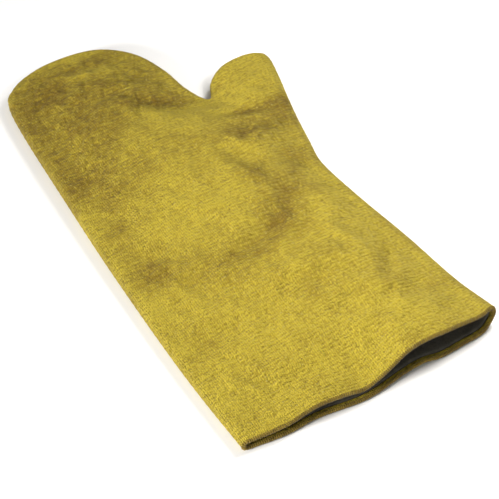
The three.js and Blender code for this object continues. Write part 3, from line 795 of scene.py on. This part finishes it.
# Coarse woven cloth: colours are linear, pitches in metres
clothLook = {
    "light": (0.590, 0.455, 0.037, 1),
    "dark": (0.240, 0.162, 0.009, 1),
    # colour of dirt and of painted shade, mixed in on the soiled patches, in the folds and on the
    # hem's front
    "soiled": (0.200, 0.112, 0.006, 1),
    "fluff": (0.720, 0.590, 0.120, 1),
    "speck": (0.050, 0.032, 0.010, 1),
    "pitchAcross": 0.0014,
    "pitchAlong": 0.0026,
    "weaveHeight": 0.0018,
    # how far the yarns stray, in yarns: slowly across and along, and quickly
    "strayAcross": 2.2,
    "strayAlong": 1.4,
    "wander": 1.1,
    # scale, detail and roughness of every unevenness
    "clouds": {
        "drift": (55, 2, 0.55), "waver": (240, 2, 0.55), "fibre": (2600, 2, 0.55),
        "grain": (640, 2, 0.6), "lumps": (300, 3, 0.6), "patches": (30, 4, 0.6),
        "blotch": (95, 4, 0.6), "crumple": (175, 3, 0.55),
    },
    # bright knots and dark dots: scale, edge as shares of a cell, the luck that a cell needs to
    # have one, how well it covers
    "neps": {"scale": 210.0, "edge": (0.06, 0.20), "luck": (0.50, 0.70), "cover": 0.6},
    "dots": {"scale": 165.0, "edge": (0.04, 0.11), "luck": (0.82, 0.88), "cover": 0.7},
    # what makes up the dirt and painted shade, its unevenness, the shade and the relief
    "dirtAndShadeShares": {
        "hollow": 0.2, "soiled": 0.58, "patches": 0.75, "blotch": 0.8, "creased": -0.9,
    },
    "dirtAndShadeGrain": {"lumps": 2.2, "grain": 2.0},
    # the height share paints the tops of the yarns lighter and the gaps between them darker:
    # painted shade of the weave
    "shadeShares": {
        "height": 0.75, "knot": 0.15, "grain": 1.5, "lumps": 0.6, "blotch": 0.5, "patches": -0.5,
    },
    "reliefShares": {
        "height": 1.0, "lumps": 3.2, "grain": 2.2, "nep": 1.3, "fibre": 0.25, "blotch": 4.2,
        "creased": 8.0,
    },
    "lift": 0.36,  # added to the shade
    "dirtAndShadeDarkening": 0.8,  # what dirt and painted shade take from it
    "dirtAndShadeCover": 0.62,  # and how well they cover
    "roughness": 0.92,
    "smoothTops": 0.08,  # what the tops of the yarns take from the roughness
    "sheen": 0.04,
}


def specks(maker, place, look):
    # small round spots in some cells of a scattered pattern, 1 inside and 0 outside
    values = {"Vector": place, "Scale": look["scale"]}
    gap, pick = maker.node("ShaderNodeTexVoronoi", None, values, (0, 1))
    luck = maker.node("ShaderNodeSeparateColor", None, {0: pick})
    return (1 - gap.between(*look["edge"])) * luck.between(*look["luck"])


def wovenMaterial(name, look):
    material, maker = startMaterial(name)
    place = maker.node("ShaderNodeTexCoord", out="Object")
    weave = maker.node("ShaderNodeUVMap", {"uv_map": "weave"})
    across, along, _ = maker.node("ShaderNodeSeparateXYZ", None, {0: weave}, (0, 1, 2))
    parts = {kind: maker.cloud(place, *form) - 0.5 for kind, form in look["clouds"].items()}
    drift, waver = parts["drift"], parts["waver"] * look["wander"]
    u = across / look["pitchAcross"] + drift * look["strayAcross"] + waver
    v = along / look["pitchAlong"] + drift * look["strayAlong"] + waver
    yarnU, yarnV = u.floor(), v.floor()
    # each yarn is a little thicker or thinner than the next, and changes along its length
    acrossSpot = maker.node("ShaderNodeCombineXYZ", None, {0: yarnU * 3.7, 1: v * 0.13, 2: 1.0})
    alongSpot = maker.node("ShaderNodeCombineXYZ", None, {0: u * 0.07, 1: yarnV * 4.3, 2: 7.0})
    slubU = maker.cloud(acrossSpot, 1, 1)
    slubV = maker.cloud(alongSpot, 1, 1)
    roundU = 1 - (u.fraction() * 2 - 1) ** 2
    roundV = 1 - (v.fraction() * 2 - 1) ** 2
    overU = ((v - 0.5 + yarnU) * math.pi).cosine() * 0.5 + 0.5
    overV = ((u + 0.5 + yarnV) * math.pi).cosine() * 0.5 + 0.5
    raisedU = roundU * (overU * 0.92 + 0.08) * (slubU * 0.8 + 0.66)
    raisedV = roundV * (overV * 0.92 + 0.08) * (slubV * 0.8 + 0.56)
    # and some crossings stand higher than their neighbours
    crossing = maker.node("ShaderNodeCombineXYZ", None, {0: yarnU, 1: yarnV, 2: 3.0})
    knot = maker.node("ShaderNodeTexWhiteNoise", {"noise_dimensions": "3D"}, {"Vector": crossing})
    height = raisedU.larger(raisedV * 0.95) * (knot * 0.7 + 0.65)
    nep, dot = specks(maker, place, look["neps"]), specks(maker, place, look["dots"])
    # masks of painted shade and dirt, in the folds and on the soiled patches
    hollow = maker.node("ShaderNodeAttribute", {"attribute_name": "hollow"}, out="Fac")
    soiled = maker.node("ShaderNodeAttribute", {"attribute_name": "soiled"}, out="Fac")
    creased = parts["crumple"] * soiled.larger(0.0)
    parts.update(height=height, knot=knot - 0.5, nep=nep)
    parts.update(hollow=hollow, soiled=soiled, creased=creased)
    dirtAndShade = summed(parts, look["dirtAndShadeShares"])
    dirtAndShade = (dirtAndShade * (summed(parts, look["dirtAndShadeGrain"]) + 1.0) + 0.04).between(-0.05, 1.15)
    # dirt and painted shade darken the low grains first, so that dark cloth keeps its grain
    shade = summed(parts, look["shadeShares"]) + look["lift"] - dirtAndShade * look["dirtAndShadeDarkening"]
    colour = maker.mixed(shade, look["dark"], look["light"])
    colour = maker.mixed(dirtAndShade * look["dirtAndShadeCover"], colour, look["soiled"])
    colour = maker.mixed(nep * look["neps"]["cover"], colour, look["fluff"])
    colour = maker.mixed(dot * look["dots"]["cover"], colour, look["speck"])
    bump = maker.bump(summed(parts, look["reliefShares"]), look["weaveHeight"])
    finishMaterial(
        maker, colour, look["roughness"] - height * look["smoothTops"], bump,
        {"Sheen Weight": look["sheen"], "Sheen Roughness": 0.5, "Specular IOR Level": 0.2},
    )
    return material


liningLook = {
    "light": (0.150, 0.140, 0.112, 1),
    "dark": (0.070, 0.065, 0.053, 1),
    "pile": 0.0005,  # its height in metres
}


def liningMaterial(name, look):
    material, maker = startMaterial(name)
    place = maker.node("ShaderNodeTexCoord", out="Object")
    pile = maker.cloud(place, 900, 3, 0.65)
    soft = maker.cloud(place, 120, 3)
    shade = (pile * 0.6 + soft * 0.6).between(0.35, 0.85)
    colour = maker.mixed(shade, look["dark"], look["light"])
    bump = maker.bump(pile + soft * 0.8, look["pile"], 0.8)
    finishMaterial(maker, colour, 1 - pile * 0.06, bump, {"Specular IOR Level": 0.15})
    return material


# dark brown, much darker than the cloth whose yarns these are: painted shade of the hem's front,
# with its dirt
shadedYarnLook = {
    "light": (0.230, 0.155, 0.018, 1),
    "dark": (0.085, 0.052, 0.010, 1),
    "strandHeight": 0.0002,  # in metres
}


def yarnMaterial(name, look):
    material, maker = startMaterial(name)
    place = maker.node("ShaderNodeTexCoord", out="Object")
    strands = maker.cloud(place, 1500, 3, 0.6)
    patches = maker.cloud(place, 160, 3)
    shade = (strands * 0.7 + patches * 0.7).between(0.4, 0.95)
    colour = maker.mixed(shade, look["dark"], look["light"])
    bump = maker.bump(strands, look["strandHeight"], 0.7)
    finishMaterial(
        maker, colour, 0.95 - strands * 0.05, bump,
        {"Sheen Weight": 0.2, "Sheen Roughness": 0.5, "Specular IOR Level": 0.2},
    )
    return material


wovenCloth = wovenMaterial("wovenCloth", clothLook)
softLining = liningMaterial("softLining", liningLook)
shadedHemYarn = yarnMaterial("shadedHemYarn", shadedYarnLook)
print("materials ready")


# The depth in millimetres that counts as a full hollow, the finer folds' weight in it, and
# the darkening of the front of the hem, painted shade with its dirt
markLook = {"fullHollow": 4, "finerFolds": 1.5, "hemShadeAndSoil": 1.3}


def markCloth(piece, look):
    # marks how deep each point lies in a fold, from 0 to 1, for painted shade and dirt in the
    # folds, and how soiled it is, from -1 where it is painted lighter than elsewhere to 1, which
    # paints shade as well as dirt
    mesh = piece.data
    spots = np.empty(len(mesh.vertices) * 3)
    mesh.vertices.foreach_get("co", spots)
    spots = spots.reshape(-1, 3) / mm
    x, y = (spots[:, :2] - mittenShape["planShift"]).T
    rise = foldsAt(x, y, mittenShape["folds"])
    rise += foldsAt(x, y, mittenShape["wrinkles"]) * look["finerFolds"]
    # deeper in a fold is darker: painted shade in the folds, with dirt
    hollow = np.clip(-rise / look["fullHollow"], 0, 1)
    # patches of dirt that also paint shade, and below 0 paint light
    soiled = foldsAt(x, y, mittenShape["soiled"])
    # the front of the hem is painted darker: painted shade where it faces away from the light, and
    # its dirt
    front = clothStartY - waveAt("reach", x) - y
    soiled += look["hemShadeAndSoil"] * np.clip(front / noseRadius + 0.1, 0, 1)
    for name, values in (("hollow", hollow), ("soiled", np.clip(soiled, -1, 1))):
        layer = mesh.attributes.new(name, "FLOAT", "POINT")
        layer.data.foreach_set("value", values.astype(np.float32))


for piece in (backCloth, palmCloth):
    piece.data.materials.append(wovenCloth)
    markCloth(piece, markLook)
lining.data.materials.append(softLining)

# Lengthwise yarns that wrap over the nose of the hem and show as short ribs. Sizes are in
# millimetres, the sweep is in degrees.
ribLook = {
    "pitch": 1.4, "thick": 0.46, "proud": 0.32, "sweep": 175.0, "sizes": (0.94, 1.05), "seed": 7,
}


def nodeGroup(name, sockets):
    group = bpy.data.node_groups.new(name, "GeometryNodeTree")
    group.interface.new_socket("Geometry", in_out="OUTPUT", socket_type="NodeSocketGeometry")
    inlets = {}
    for label, kind in [("Geometry", "Geometry")] + sockets:
        inlets[label] = group.interface.new_socket(
            label, in_out="INPUT", socket_type="NodeSocket" + kind
        ).identifier
    maker = NodeMaker(group)
    labels = tuple(inlets)
    given = dict(zip(labels, maker.node("NodeGroupInput", out=labels)))
    return group, maker, given, inlets


def endGroup(maker, placed, material, smooth=True):
    # the last nodes of a group: real faces, their material, the way out
    placed = maker.node("GeometryNodeRealizeInstances", None, {0: placed})
    if smooth:
        placed = maker.node("GeometryNodeSetShadeSmooth", None, {0: placed})
    placed = maker.node(
        "GeometryNodeSetMaterial", None, {"Geometry": placed, "Material": material}
    )
    maker.node("NodeGroupOutput", None, {0: placed})


def bakedGroup(name, mesh, group, inlets, values):
    # what the node group makes of the mesh, as an object
    carrier = newObject("carrier", mesh)
    modifier = carrier.modifiers.new(group.name, "NODES")
    modifier.node_group = group
    for label, value in values.items():
        modifier[inlets[label]] = value
    depsgraph = bpy.context.evaluated_depsgraph_get()
    made = bpy.data.meshes.new_from_object(carrier.evaluated_get(depsgraph), depsgraph=depsgraph)
    bpy.data.objects.remove(carrier)
    return newObject(name, made)


def noseRing():
    # the line round which the hem turns, as one loop
    sides = [mouthLine(clothStartY, side, noseRadius, 0, False) for side in (1, -1)]
    loop = np.concatenate([sides[0], sides[1][1:-1][::-1]])
    loop = bendLip(loop)
    loop[:, :2] += mittenShape["planShift"]
    return loop * mm


def hemRibs(name, look, material):
    group, maker, given, inlets = nodeGroup("hemRibs", [
        ("Pitch", "Float"), ("Thickness", "Float"), ("Radius", "Float"), ("Sweep", "Float"),
        ("Smallest", "Float"), ("Largest", "Float"), ("Seed", "Int"), ("Material", "Material"),
    ])
    line = maker.node("GeometryNodeMeshToCurve", None, {0: given["Geometry"]})
    line = maker.node(
        "GeometryNodeResampleCurve", {"mode": "LENGTH"}, {"Curve": line, "Length": given["Pitch"]}
    )
    arc = maker.node(
        "GeometryNodeCurveArc", {"mode": "RADIUS"},
        {"Resolution": 9, "Radius": given["Radius"], "Start Angle": given["Sweep"] * -0.5,
         "Sweep Angle": given["Sweep"]},
    )
    section = maker.node(
        "GeometryNodeCurvePrimitiveCircle", {"mode": "RADIUS"},
        {"Resolution": 6, "Radius": given["Thickness"]},
    )
    rib = maker.node(
        "GeometryNodeCurveToMesh", None,
        {"Curve": arc, "Profile Curve": section, "Fill Caps": True},
    )
    tangent = maker.node("GeometryNodeInputTangent")
    turn = maker.node("FunctionNodeAlignRotationToVector", {"axis": "Z"}, {"Vector": tangent})
    turn = maker.node(
        "FunctionNodeAlignRotationToVector", {"axis": "X", "pivot_axis": "Z"},
        {"Rotation": turn, "Vector": (0.0, -1.0, 0.0)},
    )
    size = maker.node(
        "FunctionNodeRandomValue", {"data_type": "FLOAT"},
        {2: given["Smallest"], 3: given["Largest"], "Seed": given["Seed"]}, 1,
    )
    placed = maker.node(
        "GeometryNodeInstanceOnPoints", None,
        {"Points": line, "Instance": rib, "Rotation": turn, "Scale": size},
    )
    endGroup(maker, placed, given["Material"])
    loop = noseRing()
    # the ribs of the lower lip rest on the floor
    loop[:, 2] = np.maximum(loop[:, 2], (noseRadius + look["proud"] * 1.1) * mm)
    mesh = bpy.data.meshes.new(name)
    edges = [(k, (k + 1) % len(loop)) for k in range(len(loop))]
    mesh.from_pydata(loop.tolist(), edges, [])
    return bakedGroup(name, mesh, group, inlets, {
        "Pitch": look["pitch"] * mm,
        "Thickness": look["thick"] * mm,
        "Radius": (noseRadius - look["thick"] + look["proud"]) * mm,
        "Sweep": math.radians(look["sweep"]),
        "Smallest": look["sizes"][0],
        "Largest": look["sizes"][1],
        "Seed": look["seed"],
        "Material": material,
    })


hemYarns = hemRibs("hem_yarns", ribLook, shadedHemYarn)
print("hem yarns ready:", len(hemYarns.data.polygons), "faces")

# Loose fibres that stand up from the cloth: how many on a square metre, sizes in millimetres.
# Faces that look up less than leastUp have none.
fuzzLook = {
    "density": 90000.0, "length": 1.7, "shortest": 0.35, "thick": 0.035, "leastUp": 0.05,
    "seed": 11,
}


def clothFuzz(name, look, source, material):
    group, maker, given, inlets = nodeGroup("clothFuzz", [
        ("Density", "Float"), ("Length", "Float"), ("Shortest", "Float"),
        ("Thickness", "Float"), ("Seed", "Int"), ("Material", "Material"),
    ])
    points, normal, turn = maker.node(
        "GeometryNodeDistributePointsOnFaces", {"distribute_method": "RANDOM"},
        {"Mesh": given["Geometry"], "Density": given["Density"], "Seed": given["Seed"]}, (0, 1, 2),
    )
    bend = maker.node(
        "GeometryNodeCurveQuadraticBezier", None,
        {"Resolution": 3, "Start": (0.0, 0.0, -0.1), "Middle": (0.25, 0.0, 0.45),
         "End": (0.95, 0.1, 0.35)},
    )
    section = maker.node(
        "GeometryNodeCurvePrimitiveCircle", {"mode": "RADIUS"},
        {"Resolution": 3, "Radius": given["Thickness"] / given["Length"]},
    )
    hair = maker.node("GeometryNodeCurveToMesh", None, {"Curve": bend, "Profile Curve": section})
    spin = maker.node(
        "FunctionNodeRandomValue", {"data_type": "FLOAT_VECTOR"},
        {0: (-0.5, -0.5, 0.0), 1: (0.5, 0.5, 2 * math.pi), "Seed": given["Seed"]}, 0,
    )
    turned = maker.node(
        "FunctionNodeRotateRotation", {"rotation_space": "LOCAL"},
        {"Rotation": turn, "Rotate By": spin},
    )
    size = maker.node(
        "FunctionNodeRandomValue", {"data_type": "FLOAT"},
        {2: given["Shortest"], 3: 1.0, "Seed": given["Seed"] + 1}, 1,
    )
    placed = maker.node(
        "GeometryNodeInstanceOnPoints", None,
        {"Points": points, "Instance": hair, "Rotation": turned, "Scale": size * given["Length"]},
    )
    endGroup(maker, placed, given["Material"], False)
    mesh = bpy.data.meshes.new("fuzzGround")
    upper = [face for face in source.data.polygons if face.normal.z > look["leastUp"]]
    faces = [list(face.vertices) for face in upper]
    mesh.from_pydata([v.co[:] for v in source.data.vertices], [], faces)
    return bakedGroup(name, mesh, group, inlets, {
        "Density": look["density"],
        "Length": look["length"] * mm,
        "Shortest": look["shortest"],
        "Thickness": look["thick"] * mm,
        "Seed": look["seed"],
        "Material": material,
    })


def fuzzMaterial(name, look):
    material, maker = startMaterial(name)
    place = maker.node("ShaderNodeTexCoord", out="Object")
    tint = maker.cloud(place, 300, 2)
    colour = maker.mixed(tint.between(0.35, 0.75), look["light"], look["fluff"])
    bump = maker.bump(tint, 0.0001, 0.1)
    finishMaterial(maker, colour, 0.95 - tint * 0.02, bump, {"Specular IOR Level": 0.1})
    return material


looseFibre = fuzzMaterial("looseFibre", clothLook)
fuzz = clothFuzz("cloth_fuzz", fuzzLook, backCloth, looseFibre)
print("loose fibres ready:", len(fuzz.data.polygons), "faces")

# Floor and light, in metres
roomLook = {
    "floorReach": 2,
    "floor": (0.90, 0.895, 0.88, 1),
    "world": (0.95, 0.97, 1.0, 1),
    "worldStrength": 0.33,
    "aim": (0.02, -0.06, 0.0),
    # place, size, watts, colour
    "key": ((0.15, -0.14, 0.28), 0.12, 1.0, (1.0, 0.97, 0.93)),
    "left": ((-1.10, -0.20, 0.42), 0.30, 21.0, (1.0, 0.98, 0.96)),
    "right": ((0.26, 0.19, 0.27), 0.16, 0.9, (1.0, 0.98, 0.96)),
    "front": ((-0.20, -0.90, 0.30), 0.50, 0.5, (1.0, 0.98, 0.96)),
}


def makeRoom(look):
    mesh = bpy.data.meshes.new("floor")
    reach = look["floorReach"]
    corners = [(-reach, -reach, 0), (reach, -reach, 0), (reach, reach, 0), (-reach, reach, 0)]
    mesh.from_pydata(corners, [], [(0, 1, 2, 3)])
    floor = newObject("floor", mesh)
    material, maker = startMaterial("floorPaint")
    place = maker.node("ShaderNodeTexCoord", out="Object")
    grain = maker.cloud(place, 400, 2)
    bump = maker.bump(grain, 0.0002, 0.05)
    finishMaterial(maker, look["floor"], 0.8 + grain * 0.05, bump, {"Specular IOR Level": 0.2})
    mesh.materials.append(material)
    for name in ("key", "left", "right", "front"):
        spot, size, watts, colour = look[name]
        data = bpy.data.lights.new(name, "AREA")
        data.shape = "DISK"
        data.size = size
        data.energy = watts
        data.color = colour
        light = newObject(name, data)
        light.location = spot
        aim = Vector(look["aim"]) - Vector(spot)
        light.rotation_euler = aim.to_track_quat("-Z", "Y").to_euler()
    world = bpy.data.worlds.new("studio")
    world.use_nodes = True
    background = world.node_tree.nodes["Background"]
    background.inputs["Color"].default_value = look["world"]
    background.inputs["Strength"].default_value = look["worldStrength"]
    bpy.context.scene.world = world


makeRoom(roomLook)
print("room ready")

for piece, nodes, slot in (
    (backCloth, ("back_panel", "back_thumb", "cuff_hem"), "outer_cloth"),
    (palmCloth, ("palm_panel", "palm_thumb", "cuff_hem"), "outer_cloth"),
    (lining, ("lining",), "lining_cloth"),
    (hemYarns, (), "hem_cloth"),
    (fuzz, (), "outer_cloth"),
):
    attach(piece, "root")
    if nodes:
        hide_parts(*nodes)
